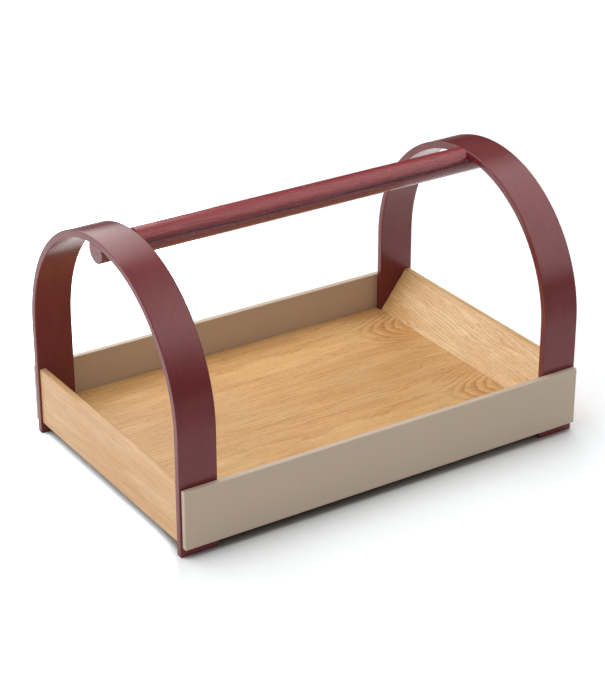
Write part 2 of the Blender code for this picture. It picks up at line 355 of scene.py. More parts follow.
        sway = add(MATH, (years, swing, radius), operation="MULTIPLY_ADD")
        sway = add(MATH, (slow, slow_height, sway), operation="MULTIPLY_ADD")
        sway = add(MATH, (quick, quick_height, sway), operation="MULTIPLY_ADD")
        if self.knot:
            spot = add(COMBINE, (along, across))
            gap = add(VECTOR, (spot, (*self.knot, 0.0)), operation="DISTANCE").outputs["Value"]
            swell = add(RANGE, (gap, 0.0, self.knot_reach, self.knot_swell, 0.0),
                        interpolation_type="SMOOTHSTEP")
            sway = add(MATH, (sway, swell), operation="ADD")
        return add(MATH, (sway, self.ring_width), operation="DIVIDE"), strength


@dataclass(frozen=True)
class BandLacquer(Finish):
    """Satin burgundy lacquer, sprayed on bent veneer whose fibres still show as faint streaks.

    It reads the grain attribute, which runs along the band round its bend, in millimetres.
    """

    colour: str = "742d2f"
    shade: str = "6a292b"
    sheen: str = "ffe7e7"                   # glaze that warms the highlights
    streaks: Point3 = (40.0, 1.5, 3.0)      # streaks of the veneer, along, across and through the band
    patches: Point3 = (45.0, 12.0, 12.0)    # where the streaks gather
    shade_range: Point = (0.12, 0.40)       # their product between which the shade turns to the colour
    fibres: Point3 = (14.0, 0.9, 3.0)
    shine: Point = (0.4, 0.6)               # specular level of one fibre and the next
    skin: float = 1.2                       # grain of the sprayed coat
    skin_height: float = 0.3                # next to the streaks
    roughness: Point = (0.18, 0.23)
    bump: Point = (0.35, 0.00005)           # strength, and depth in metres

    def shader(self, tree: bpy.types.NodeTree) -> bpy.types.Node:
        """Add the lacquer's streaks and sheen.

        Args:
            tree: The material's tree.

        Returns:
            Their shader.
        """
        add = partial(add_node, tree)
        grain = add("ShaderNodeAttribute", attribute_name="grain").outputs["Vector"]
        streaks = stretched_noise(tree, grain, self.streaks, 3)
        patches = stretched_noise(tree, grain, self.patches, 2)
        mix = add(MATH, (streaks, patches), operation="MULTIPLY")
        mix = add(RANGE, (mix, *self.shade_range))
        paint = add(MIX, {0: mix, 6: linear(self.shade), 7: linear(self.colour)}, data_type="RGBA")
        skin = stretched_noise(tree, grain, (self.skin,) * 3, 1)
        relief = add(MATH, (skin, self.skin_height, streaks), operation="MULTIPLY_ADD")
        bump = add(BUMP, {"Height": relief, "Strength": self.bump[0], "Distance": self.bump[1]})
        gloss = add(RANGE, (streaks, *NOISE_BULK, *self.roughness))
        fibres = stretched_noise(tree, grain, self.fibres, 2)
        shine = add(RANGE, (fibres, *NOISE_BULK, *self.shine))
        return add(SURFACE, {"Base Color": paint.outputs[2], "Roughness": gloss, "Normal": bump,
                             "Specular IOR Level": shine, "Specular Tint": linear(self.sheen)})


@dataclass(frozen=True)
class StainedAsh(Finish):
    """Turned ash, stained burgundy and lacquered: open pores show as dark grooves, and painted glints break
    its highlights.

    Its patterns' sizes and levels are in millimetres, and its levels run up the leaning rings.
    """

    colour: str = "8c272e"
    painted_shade_colour: str = "773b3f"                  # painted shade: duller colour low on the bar, where less light falls
    dark: str = "48141a"
    painted_glint_colour: str = "c29391"                   # painted glints, where open pores would catch the light
    sheen: str = "ffe9e9"                   # glaze that warms the highlights
    painted_shade_levels: Point = (251.0, 246.0)    # levels between which the painted shade of the lower bar comes in
    ring_width: float = 2.6
    ring_lean: float = 0.35                 # how far the rings climb, for each millimetre across the bar
    sway: Point3 = (80.0, 9.0, 9.0)         # slow waves of the rings
    sway_height: float = 6.0
    first_wood: float = 0.45                # share of a ring that has pores
    pores: Point3 = (9.0, 0.7, 0.7)         # wider than real ones of 0.3 mm, which are too fine to show
    pore_range: Point = (0.50, 0.64)
    pore_room: Point = (0.8, 0.15)          # how much more pores show in the first wood, and elsewhere
    pore_shade: float = 0.6
    ring_shade: float = 0.15
    streak: float = 246.4                   # level of the dark streak in the grain
    streak_edge: Point = (0.10, 1.15)       # distances from its middle between which it fades
    streak_broken: Point = (0.8, 1.0)       # how dark it is between pores and in them
    broken_range: Point = (0.35, 0.60)
    wobble: Point3 = (14.0, 3.0, 3.0)       # the streak's own waves
    wobble_height: float = 2.0
    # Size, threshold and strength of the painted glints.
    glint_sizes: Point3 = (5.0, 0.6, 0.6)
    glint_range: Point = (0.70, 0.78)
    glint_strength: float = 0.7
    roughness: Point = (0.2, 0.4)           # of the lacquer and in its pores
    bump: Point = (0.9, 0.00025)            # strength, and depth in metres
    ior: float = 1.56

    def shader(self, tree: bpy.types.NodeTree) -> bpy.types.Node:
        """Add the bar's rings, pores and sheen, its painted lower shade and its painted glints.

        Args:
            tree: The material's tree.

        Returns:
            Their shader.
        """
        add = partial(add_node, tree)
        place = place_in_mm(tree)
        sway = stretched_noise(tree, place, self.sway, 2)
        _, across, height = add(SEPARATE, (place,)).outputs
        level = add(MATH, (across, self.ring_lean, height), operation="MULTIPLY_ADD")
        level = add(MATH, (sway, self.sway_height, level), operation="MULTIPLY_ADD")
        rings = add(MATH, (level, self.ring_width), operation="DIVIDE")
        share = add(MATH, (rings,), operation="FRACT")
        first_wood = add(RANGE, (share, 0.0, self.first_wood, 1.0, 0.0))
        pores = stretched_noise(tree, place, self.pores, 2)
        pore_mask = add(RANGE, (pores, *self.pore_range))
        room = add(MATH, (first_wood, *self.pore_room), operation="MULTIPLY_ADD")
        pore_mask = add(MATH, (pore_mask, room), operation="MULTIPLY")

        # Painted shade: the stain turns duller and darker towards the bar's lower side.
        shade_below_mask = add(RANGE, (level, *self.painted_shade_levels))
        stain = add(MIX, {0: shade_below_mask, 6: linear(self.colour), 7: linear(self.painted_shade_colour)}, data_type="RGBA")
        wobble = stretched_noise(tree, place, self.wobble, 2)
        gap = add(MATH, (wobble, self.wobble_height, level), operation="MULTIPLY_ADD")
        gap = add(MATH, (gap, self.streak), operation="SUBTRACT")
        gap = add(MATH, (gap,), operation="ABSOLUTE")
        streak = add(RANGE, (gap, *self.streak_edge, 1.0, 0.0), interpolation_type="SMOOTHSTEP")
        broken = add(RANGE, (pores, *self.broken_range, *self.streak_broken))
        streak = add(MATH, (streak, broken), operation="MULTIPLY")
        shade = add(MATH, (first_wood, self.ring_shade, streak), operation="MULTIPLY_ADD")
        shade = add(MATH, (pore_mask, self.pore_shade, shade), operation="MULTIPLY_ADD")
        stain = add(MIX, {0: shade, 6: stain.outputs[2], 7: linear(self.dark)}, data_type="RGBA",
                    clamp_factor=True)
        # Painted highlights: small pale glints scattered over the bar.
        glint_mask = stretched_noise(tree, place, self.glint_sizes, 1)
        glint_mask = add(RANGE, (glint_mask, *self.glint_range, 0.0, self.glint_strength))
        stain = add(MIX, {0: glint_mask, 6: stain.outputs[2], 7: linear(self.painted_glint_colour)}, data_type="RGBA")

        relief = add(MATH, (pore_mask, -1.0, sway), operation="MULTIPLY_ADD")
        bump = add(BUMP, {"Height": relief, "Strength": self.bump[0], "Distance": self.bump[1]})
        gloss = add(RANGE, (pore_mask, 0.0, 1.0, *self.roughness))
        return add(SURFACE, {"Base Color": stain.outputs[2], "Roughness": gloss, "Normal": bump,
                             "IOR": self.ior, "Specular Tint": linear(self.sheen)})


@dataclass(frozen=True)
class PanelPaint(Finish):
    """Satin taupe paint, sprayed on board: even, with the faint skin of a sprayed coat."""

    colour: str = "c6b39e"
    shade: str = "c1ae99"
    mottle: Point3 = (50.0, 50.0, 30.0)     # patches of the two, in millimetres
    skin: float = 1.4                       # grain of the sprayed coat, in millimetres
    roughness: Point = (0.42, 0.48)
    bump: Point = (0.25, 0.00004)           # strength, and depth in metres

    def shader(self, tree: bpy.types.NodeTree) -> bpy.types.Node:
        """Add the paint's mottle and skin.

        Args:
            tree: The material's tree.

        Returns:
            Their shader.
        """
        add = partial(add_node, tree)
        place = place_in_mm(tree)
        mottle = stretched_noise(tree, place, self.mottle, 3)
        paint = add(MIX, {0: mottle, 6: linear(self.shade), 7: linear(self.colour)}, data_type="RGBA")
        skin = stretched_noise(tree, place, (self.skin,) * 3, 2)
        bump = add(BUMP, {"Height": skin, "Strength": self.bump[0], "Distance": self.bump[1]})
        gloss = add(RANGE, (skin, *NOISE_BULK, *self.roughness))
        return add(SURFACE, {"Base Color": paint.outputs[2], "Roughness": gloss, "Normal": bump})


@dataclass(frozen=True)
class ZincPlate(Finish):
    """Bright zinc plate on a cold-headed screw: grey metal with the fine marks of its tumbling."""

    colour: str = "c4c2bd"
    shade: str = "a9a7a1"
    marks: float = 0.6                      # size of the marks, in millimetres
    roughness: Point = (0.24, 0.42)

    def shader(self, tree: bpy.types.NodeTree) -> bpy.types.Node:
        """Add the plate's fine wear.

        Args:
            tree: The material's tree.

        Returns:
            Its shader.
        """
        add = partial(add_node, tree)
        marks = stretched_noise(tree, place_in_mm(tree), (self.marks,) * 3, 3)
        gloss = add(RANGE, (marks, *NOISE_BULK, *self.roughness))
        tint = add(MIX, {0: marks, 6: linear(self.shade), 7: linear(self.colour)}, data_type="RGBA")
        return add(SURFACE, {"Base Color": tint.outputs[2], "Roughness": gloss, "Metallic": 1.0})


@dataclass(frozen=True)
class FloorPaper(Finish):
    """White studio paper, matt: it shows white where no shadow falls, and nothing from below.

    What the camera sees of it is toned apart from the light that it gives, as in a retouched photograph: a
    painted contact shadow darkens it close to the tray, by how much of the sky is open, and painted light
    lightens the shadow beside the left end block.
    """

    albedo: float = 0.8                     # share of the light that it gives back
    contact_reach: float = 0.09             # how far off the tray still closes the sky
    contact_open: Point = (0.58, 0.40)      # open share that ends the painted contact shadow, in the middle and to the right
    contact_span: Point = (0.02, 0.20)      # places, across the picture, between which it changes
    contact_fade: float = 0.3               # how softly the painted contact shadow ends
    shown: float = 1.02                     # brightness to the camera, where 1 is white
    shown_left: float = 2.6                 # the same beside the left end block, as painted light that lightens the shadow there
    left_edge: Point = (-0.135, -0.110)     # places, across the picture, between which it changes
    tone: str = "fafdff"                    # what cancels the oak's warm light on it
    tone_contact: str = "f6fcff"            # the same in the shade close to the tray
    tone_left: str = "ecf6ff"               # the same beside the left end block
    reflected: float = 1.27                 # its colour in reflections
    reflected_front: float = 0.45           # the same in front of the paper's edge
    reflected_far: float = 0.15             # the same past the paper's reach
    reach: Point = (0.85, 1.50)             # distances from its middle over which the paper ends
    middle: Point3 = (-0.3, 0.0, 0.0)
    front_edge: Point = (-0.6, -0.05)       # places along Y over which it ends in front

    def shader(self, tree: bpy.types.NodeTree) -> bpy.types.Node:
        """Add what the paper gives back, what it reflects and what the camera sees.

        Args:
            tree: The material's tree.

        Returns:
            Their shader, clear from below.
        """
        add = partial(add_node, tree)
        path = add("ShaderNodeLightPath").outputs
        coords = add("ShaderNodeTexCoord").outputs["Object"]
        away = add(VECTOR, (coords, self.middle), operation="DISTANCE").outputs["Value"]
        reflected = add(RANGE, (away, *self.reach, self.reflected, self.reflected_far))
        ahead = add(RANGE, (add(SEPARATE, (coords,)).outputs["Y"], *self.front_edge, 1.0, 0.0))
        reflected = add(MIX, {0: ahead, 2: reflected, 3: self.reflected_front})
        given = add(MIX, {0: path["Is Glossy Ray"], 2: self.albedo, 3: reflected})

        sideways = (math.cos(CAMERA_AZIMUTH), math.sin(CAMERA_AZIMUTH), 0.0)
        aside = add(VECTOR, (coords, sideways), operation="DOT_PRODUCT").outputs["Value"]
        # Painted contact shadow: the camera's view of the paper darkens where the tray closes its sky.
        open_sky = add("ShaderNodeAmbientOcclusion", {"Distance": self.contact_reach}, samples=16)
        open_end = add(RANGE, (aside, *self.contact_span, *self.contact_open))
        light = add(MATH, (open_sky.outputs["AO"], open_end), operation="DIVIDE")
        light = add(MATH, (light, 1.0, self.contact_fade), operation="SMOOTH_MIN")
        seen = add(MIX, {0: light, 6: linear(self.tone_contact), 7: linear(self.tone)}, data_type="RGBA")
        seen = add(VECTOR, {0: seen.outputs[2], 3: light}, operation="SCALE")
        # Painted light: beside the left end block the shadow is lightened and cooled.
        share = add(RANGE, (aside, *self.left_edge))
        level = add(MIX, {0: share, 2: self.shown_left, 3: self.shown})
        seen = add(VECTOR, {0: seen, 3: level}, operation="SCALE")
        cooler = add(MIX, {0: share, 6: linear(self.tone_left), 7: linear("ffffff")}, data_type="RGBA")
        seen = add(VECTOR, (seen, cooler.outputs[2]), operation="MULTIPLY")

        colour = add(MIX, {0: path["Is Camera Ray"], 6: given, 7: seen}, data_type="RGBA")
        paper = add("ShaderNodeBsdfDiffuse", {"Color": colour.outputs[2]})
        below = add("ShaderNodeNewGeometry").outputs["Backfacing"]
        return add("ShaderNodeMixShader", (below, paper, add("ShaderNodeBsdfTransparent")))


HOOP_LACQUER = BandLacquer("burgundy_lacquer_on_bent_veneer")
HANDLE_STAIN = StainedAsh("burgundy_stained_turned_ash")
TAUPE_PAINT = PanelPaint("satin_taupe_sprayed_paint")
SCREW_ZINC = ZincPlate("zinc_plated_steel")
STUDIO_PAPER = FloorPaper("white_paper_floor")
FLOOR_OAK = Oak("oiled_oak_floor_veneer", leaf_width=160, pith_across=87, end_rise=12.5, waviness=1.3,
                knot=(115, 8))
# The right block's oak is paler than the left's: partly its own wood, and partly painted light for its
# sloping face, which the lamps light.
END_OAK = {
    End.LEFT: Oak("oiled_oak_left_end_block", grain=Grain.ACROSS_TRAY, tilt=1.5, pith_across=40,
                  pith_below=60, ring_width=2.6, waviness=0.6, ring_strength=(0.3, 0.3), pore_depth=0.2,
                  pale="e0ba8a", honey="d1a06a", ring_line="be8851"),
    End.RIGHT: Oak("oiled_oak_right_end_block", grain=Grain.ACROSS_TRAY, tilt=3.5, pith_across=150,
                   pith_below=40, ring_width=2.5, waviness=2.2, ring_strength=(0.5, 0.5), pore_depth=0.5,
                   pale="f1d19d", honey="dcab6c", ring_line="bc8144")}


def new_object(name: str, data: bpy.types.ID) -> bpy.types.Object:
    """Link a new object.

    Args:
        name: Its name.
        data: Its mesh, light or lens.

    Returns:
        The object.
    """
    made = bpy.data.objects.new(name, data)
    bpy.context.scene.collection.objects.link(made)
    return made


def mesh_from(name: str, bm: bmesh.types.BMesh) -> bpy.types.Mesh:
    """Turn a bmesh into a named mesh and free it.

    Args:
        name: The mesh's name.
        bm: The bmesh.

    Returns:
        The mesh.
    """
    mesh = bpy.data.meshes.new(name)
    bm.to_mesh(mesh)
    bm.free()
    return mesh


def evaluated_mesh(obj: bpy.types.Object) -> bpy.types.Mesh:
    """Return the object's mesh as its modifiers leave it, and take the modifiers off.

    Args:
        obj: Object with modifiers.

    Returns:
        The plain mesh, which the object then holds.
    """
    depsgraph = bpy.context.evaluated_depsgraph_get()
    plain = bpy.data.meshes.new_from_object(obj.evaluated_get(depsgraph), depsgraph=depsgraph)
    obj.modifiers.clear()
    obj.data = plain
    return plain


def start_tree(name: str, inputs: dict[str, str]) -> tuple[bpy.types.NodeTree, bpy.types.bpy_prop_collection]:
    """Start a Geometry Nodes tree with named inputs.

    Args:
        name: Its name.
        inputs: Kind of socket for each input's name.

    Returns:
        The tree, and the sockets that its inputs come in by.
    """
    tree = bpy.data.node_groups.new(name, "GeometryNodeTree")
    for label, kind in inputs.items():
        tree.interface.new_socket(label, in_out="INPUT", socket_type="NodeSocket" + kind)
    tree.interface.new_socket("Geometry", in_out="OUTPUT", socket_type="NodeSocketGeometry")
    return tree, add_node(tree, "NodeGroupInput").outputs


def end_tree(tree: bpy.types.NodeTree, shape: bpy.types.Node, material: bpy.types.NodeSocket) -> None:
    """End a tree by making its shape real and giving it its material.

    Args:
        tree: The tree.
        shape: Node that makes the shape.
        material: Input that the material comes in by.
    """
    made = add_node(tree, "GeometryNodeRealizeInstances", (shape,))
    made = add_node(tree, "GeometryNodeSetMaterial", {"Geometry": made, "Material": material})
    add_node(tree, "NodeGroupOutput", (made,))


def run_tree(name: str, tree: bpy.types.NodeTree, values: dict,
             mesh: bpy.types.Mesh | None = None) -> bpy.types.Object:
    """Run a Geometry Nodes tree on an object and keep the plain mesh that it makes.

    Args:
        name: Name of the new object.
        tree: The tree.
        values: What goes in the tree's named inputs.
        mesh: Mesh that goes in the tree's geometry input, or None for an empty one.

    Returns:
        The object with the finished mesh.
    """
    obj = new_object(name, mesh or bpy.data.meshes.new(name))
    modifier = obj.modifiers.new(tree.name, "NODES")
    modifier.node_group = tree
    for item in tree.interface.items_tree:
        if item.in_out == "INPUT" and item.name in values:
            modifier[item.identifier] = values[item.name]
    evaluated_mesh(obj).name = name
    return obj


def smooth(obj: bpy.types.Object) -> None:
    """Shade the curves smooth and keep flat faces flat.

    Args:
        obj: Piece to shade.
    """
    obj.data.shade_smooth()
    obj.data.set_sharp_from_angle(angle=SMOOTH_ANGLE)
    weighted = obj.modifiers.new("flat_faces_first", "WEIGHTED_NORMAL")
    weighted.keep_sharp = True
    evaluated_mesh(obj).name = obj.name


def cut(obj: bpy.types.Object, cutters: Iterable[bpy.types.Object]) -> None:
    """Cut shapes out of a piece and delete the cutters.

    Args:
        obj: The piece.
        cutters: Closed shapes to take out of it.
    """
    cutters = list(cutters)
    for cutter in cutters:
        boolean = obj.modifiers.new("cut", "BOOLEAN")
        boolean.object = cutter
        boolean.operation = "DIFFERENCE"
        boolean.solver = "EXACT"
    evaluated_mesh(obj).name = obj.name
    for cutter in cutters:
        bpy.data.objects.remove(cutter)


def fit_piece(obj: bpy.types.Object, finish: Finish, nodes: Iterable[str]) -> None:
    """Give a finished piece its material and its place in the frame.

    Args:
        obj: Finished piece, at the origin.
        finish: Its finish.
        nodes: Solids that it stands for.
    """
    obj.data.materials.clear()
    obj.data.materials.append(finish.material())
    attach(obj, BODY)
    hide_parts(*nodes)
    log.info("%s: %d faces, %s", obj.name, len(obj.data.polygons), finish.name)


def box_between(low: Vector, high: Vector) -> bmesh.types.BMesh:
    """Make a box.

    Args:
        low: Its lowest corner.
        high: Its highest corner.

    Returns:
        The box.
    """
    bm = bmesh.new()
    bmesh.ops.create_cube(bm, size=1.0)
    bm.transform(Matrix.LocRotScale((low + high) / 2, None, high - low))
    return bm


def rounded(outline: list[Point], radii: list[float], steps: int) -> list[Point]:
    """Replace an outline's corners with arcs.

    Args:
        outline: Corners in order.
        radii: Radius at each corner, or 0 to keep it.
        steps: Facets in each arc.

    Returns:
        The outline's points with the arcs in place.
    """
    points = []
    for index, (corner, radius) in enumerate(zip(outline, radii)):
        here = Vector(corner)
        back = (Vector(outline[index - 1]) - here).normalized()
        ahead = (Vector(outline[(index + 1) % len(outline)]) - here).normalized()
        if not radius:
            points.append(tuple(here))
            continue
        half = back.angle(ahead) / 2
        centre = here + (back + ahead).normalized() * radius / math.sin(half)
        start = here + back * radius / math.tan(half) - centre
        end = here + ahead * radius / math.tan(half) - centre
        points += [tuple(centre + start.slerp(end, i / steps) * radius) for i in range(steps + 1)]
    return points


def round_cap(bm: bmesh.types.BMesh, cap: bmesh.types.BMFace, radius: float, steps: int) -> None:
    """Round the edges of a flat cap outwards from where it lies.

    Args:
        bm: Mesh that holds the cap.
        cap: Its flat face.
        radius: Radius of the rounding, which is also how far the cap moves out.
        steps: Facets in the rounding.
    """
    for step in range(steps):
        low, high = (math.pi / 2 * (step + i) / steps for i in (0, 1))
        inset = radius * (math.cos(low) - math.cos(high))
        rise = radius * (math.sin(high) - math.sin(low))
        bmesh.ops.inset_region(bm, faces=[cap], thickness=inset, depth=rise, use_even_offset=True)


@dataclass
class Screws:
    """Countersunk wood screws with a rolled thread and a cross recess."""

    facets: int = 16
    rings_per_mm: float = 3.4
    shank: float = 0.004
    head: float = 0.008
    head_depth: float = 0.0026
    head_rim: float = 0.0004
    point: float = 0.004            # length of the taper
    tip: float = 0.04               # share of the thickness that is left at its end
    plain: float = 0.35             # share of the length without a thread
    pitch: float = 0.0018
    thread: float = 0.0005
    thread_foot: float = 0.28       # share of the pitch from mid-groove to a ridge's foot
    thread_top: float = 0.5         # the same to its top, which is half a turn
    recess_span: float = 0.0044
    recess_width: float = 0.0010
    recess_depth: float = 0.0016
    clearance: float = 0.0002       # round each screw in its hole
    hole_facets: int = 32

    def tree(self) -> bpy.types.NodeTree:
        """Build the tree that makes one screw and puts a copy at each point, along its drive.

        Returns:
            The tree, with an input for each size.
        """
        lengths = dict.fromkeys(("Length", "Shank", "Head", "Head depth", "Head rim", "Point", "Pitch",
                                 "Thread", "Recess span", "Recess width", "Recess depth"), "Float")
        tree, size = start_tree("wood_screws", {"Geometry": "Geometry", **lengths, "Rings": "Int",
                                                "Facets": "Int", "Finish": "Material"})
        add = partial(add_node, tree)
        tip = add(COMBINE, {2: size["Length"]})
        rail = add("GeometryNodeCurvePrimitiveLine", {"Start": (0.0, 0.0, 0.0), "End": tip})
        rail = add("GeometryNodeResampleCurve", {"Curve": rail, "Count": size["Rings"]})
        circle = add("GeometryNodeCurvePrimitiveCircle", {"Resolution": size["Facets"], "Radius": 1.0})
        body = add("GeometryNodeCurveToMesh", {"Curve": rail, "Profile Curve": circle, "Fill Caps": True})

        position = add("GeometryNodeInputPosition")
        x, y, z = add(SEPARATE, (position,)).outputs
        angle = add(MATH, (y, x), operation="ARCTAN2")
        turn = add(MATH, (angle, math.tau), operation="DIVIDE")
        climb = add(MATH, (z, size["Pitch"]), operation="DIVIDE")
        phase = add(MATH, (climb, turn), operation="SUBTRACT")
        ridge = add(MATH, (phase, self.thread_top), operation="PINGPONG")
        ridge = add(RANGE, (ridge, self.thread_foot, self.thread_top, 0.0, size["Thread"]))
        plain = add(MATH, (size["Length"], self.plain), operation="MULTIPLY")
        threaded = add(MATH, (z, plain), operation="GREATER_THAN")
        ridge = add(MATH, (ridge, threaded), operation="MULTIPLY")
        half_shank = add(MATH, (size["Shank"], 0.5), operation="MULTIPLY")
        core = add(MATH, (half_shank, size["Thread"]), operation="SUBTRACT")
        stem = add(MATH, (core, ridge), operation="ADD")
        to_tip = add(MATH, (size["Length"], z), operation="SUBTRACT")
        sharpen = add(RANGE, (to_tip, 0.0, size["Point"], self.tip, 1.0))
        stem = add(MATH, (stem, sharpen), operation="MULTIPLY")
        half_head = add(MATH, (size["Head"], 0.5), operation="MULTIPLY")
        cone = add(RANGE, (z, size["Head rim"], size["Head depth"], half_head, core))
        reach = add(MATH, (stem, cone), operation="MAXIMUM")
        beyond = add(MATH, (z, size["Head depth"]), operation="GREATER_THAN")
        reach = add(MIX, {0: beyond, 2: reach, 3: stem})
        wide = add(COMBINE, (reach, reach, 1.0))
        shaped = add(VECTOR, (position, wide), operation="MULTIPLY")
        body = add("GeometryNodeSetPosition", {"Geometry": body, "Position": shaped})

        deep = add(MATH, (size["Recess depth"], 2.0), operation="MULTIPLY")
        cross = add("GeometryNodeMeshBoolean", operation="UNION", solver="EXACT")
        slot = size["Recess span"], size["Recess width"]
        for sides in (slot, slot[::-1]):
            bar = add("GeometryNodeMeshCube", {"Size": add(COMBINE, (*sides, deep))})
            tree.links.new(bar.outputs["Mesh"], cross.inputs["Mesh 2"])
        screw = add("GeometryNodeMeshBoolean", {"Mesh 1": body, "Mesh 2": cross},
                    operation="DIFFERENCE", solver="EXACT")

        drive = add("GeometryNodeInputNamedAttribute", {"Name": "drive"}, data_type="FLOAT_VECTOR")
        aim = add("FunctionNodeAlignRotationToVector", {"Vector": drive}, axis="Z")
        copies = add("GeometryNodeInstanceOnPoints",
                     {"Points": size["Geometry"], "Instance": screw, "Rotation": aim})
        end_tree(tree, copies, size["Finish"])
        return tree

    def seat(self, node: str) -> tuple[Vector, Vector, float]:
        """Find how a screw sits.

        Args:
            node: The screw's solid.

        Returns:
            The middle of its head's face, the way that it is driven, and its length.
        """
        low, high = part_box(node)
        middle = (low + high) / 2
        if node.startswith("leg_"):
            inward = Vector((0.0, -math.copysign(1.0, middle.y), 0.0))
        else:
            inward = Vector((0.0, 0.0, 1.0))
        length = (high - low).dot(inward * sum(inward))
        return middle - inward * length / 2, inward, length

    def hole(self, node: str, sink: float) -> bpy.types.Object:
        """Make the cutter of the countersunk hole round one screw.

        Args:
            node: The screw's solid.
            sink: How far the screw's head lies below the face.

        Returns:
            The cutter, which clears the screw all round.
        """
        head, inward, length = self.seat(node)
        wide, narrow = self.head / 2 + self.clearance, self.shank / 2 + self.clearance
        profile = [(-sink - self.clearance, wide), (self.head_rim, wide), (self.head_depth, narrow),
                   (length - self.point, narrow), (length + self.clearance, self.clearance)]
        bm = bmesh.new()
        rings = []
        for depth, radius in profile:
            ring = bmesh.ops.create_circle(bm, radius=radius, segments=self.hole_facets)["verts"]
            bmesh.ops.translate(bm, verts=ring, vec=(0.0, 0.0, depth))
            rings.append(ring)
        for near, far in zip(rings, rings[1:]):
            for i in range(self.hole_facets):
                bm.faces.new((near[i - 1], near[i], far[i], far[i - 1]))
        for ring in (rings[0], rings[-1]):
            bm.faces.new(ring)
        bmesh.ops.recalc_face_normals(bm, faces=bm.faces)
        bm.transform(Matrix.Translation(head) @ inward.to_track_quat("Z", "Y").to_matrix().to_4x4())
        return new_object(f"hole_{node}", mesh_from(f"hole_{node}", bm))

    def holes(self, kind: str, end: End, sink: float) -> list[bpy.types.Object]:
        """Make the cutters round all screws of one kind at one end of the tray.

        Args:
            kind: What the screws hold: "leg", "base" or "handle".
            end: Which end.
            sink: How far their heads lie below the face.

        Returns:
            The cutters.
        """
        prefix = f"{kind}_screw_{end.word}"
        return [self.hole(node, sink) for node in sorted(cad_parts) if node.startswith(prefix)]

    def points(self, name: str, nodes: list[str]) -> tuple[bpy.types.Mesh, float]:
        """Make a mesh of the screws' places, with the way that each is driven.

        Args:
            name: Name of the mesh.
            nodes: The screws' solids.

        Returns:
            The mesh and the screws' length.
        """
        places, drives, lengths = zip(*(self.seat(node) for node in nodes))
        mesh = bpy.data.meshes.new(name)
        mesh.from_pydata(places, [], [])
        drive = mesh.attributes.new("drive", "FLOAT_VECTOR", "POINT")
        drive.data.foreach_set("vector", [value for vector in drives for value in vector])
        return mesh, lengths[0]

    def build(self) -> None:
        """Make the three kinds of screw, each as one piece."""
        tree = self.tree()
        names = sorted(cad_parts)
        for kind in ("leg", "base", "handle"):
            nodes = [name for name in names if name.startswith(f"{kind}_screw_")]
            mesh, length = self.points(f"{kind}_screws", nodes)
            values = {"Length": length, "Shank": self.shank, "Head": self.head, "Head depth": self.head_depth,
                      "Head rim": self.head_rim, "Point": self.point, "Pitch": self.pitch,
                      "Thread": self.thread, "Recess span": self.recess_span,
                      "Recess width": self.recess_width, "Recess depth": self.recess_depth,
                      "Rings": round(length * PER_MM * self.rings_per_mm), "Facets": self.facets,
                      "Finish": SCREW_ZINC.material()}
            screws = run_tree(f"{kind}_wood_screws", tree, values, mesh)
            smooth(screws)
            fit_piece(screws, SCREW_ZINC, nodes)


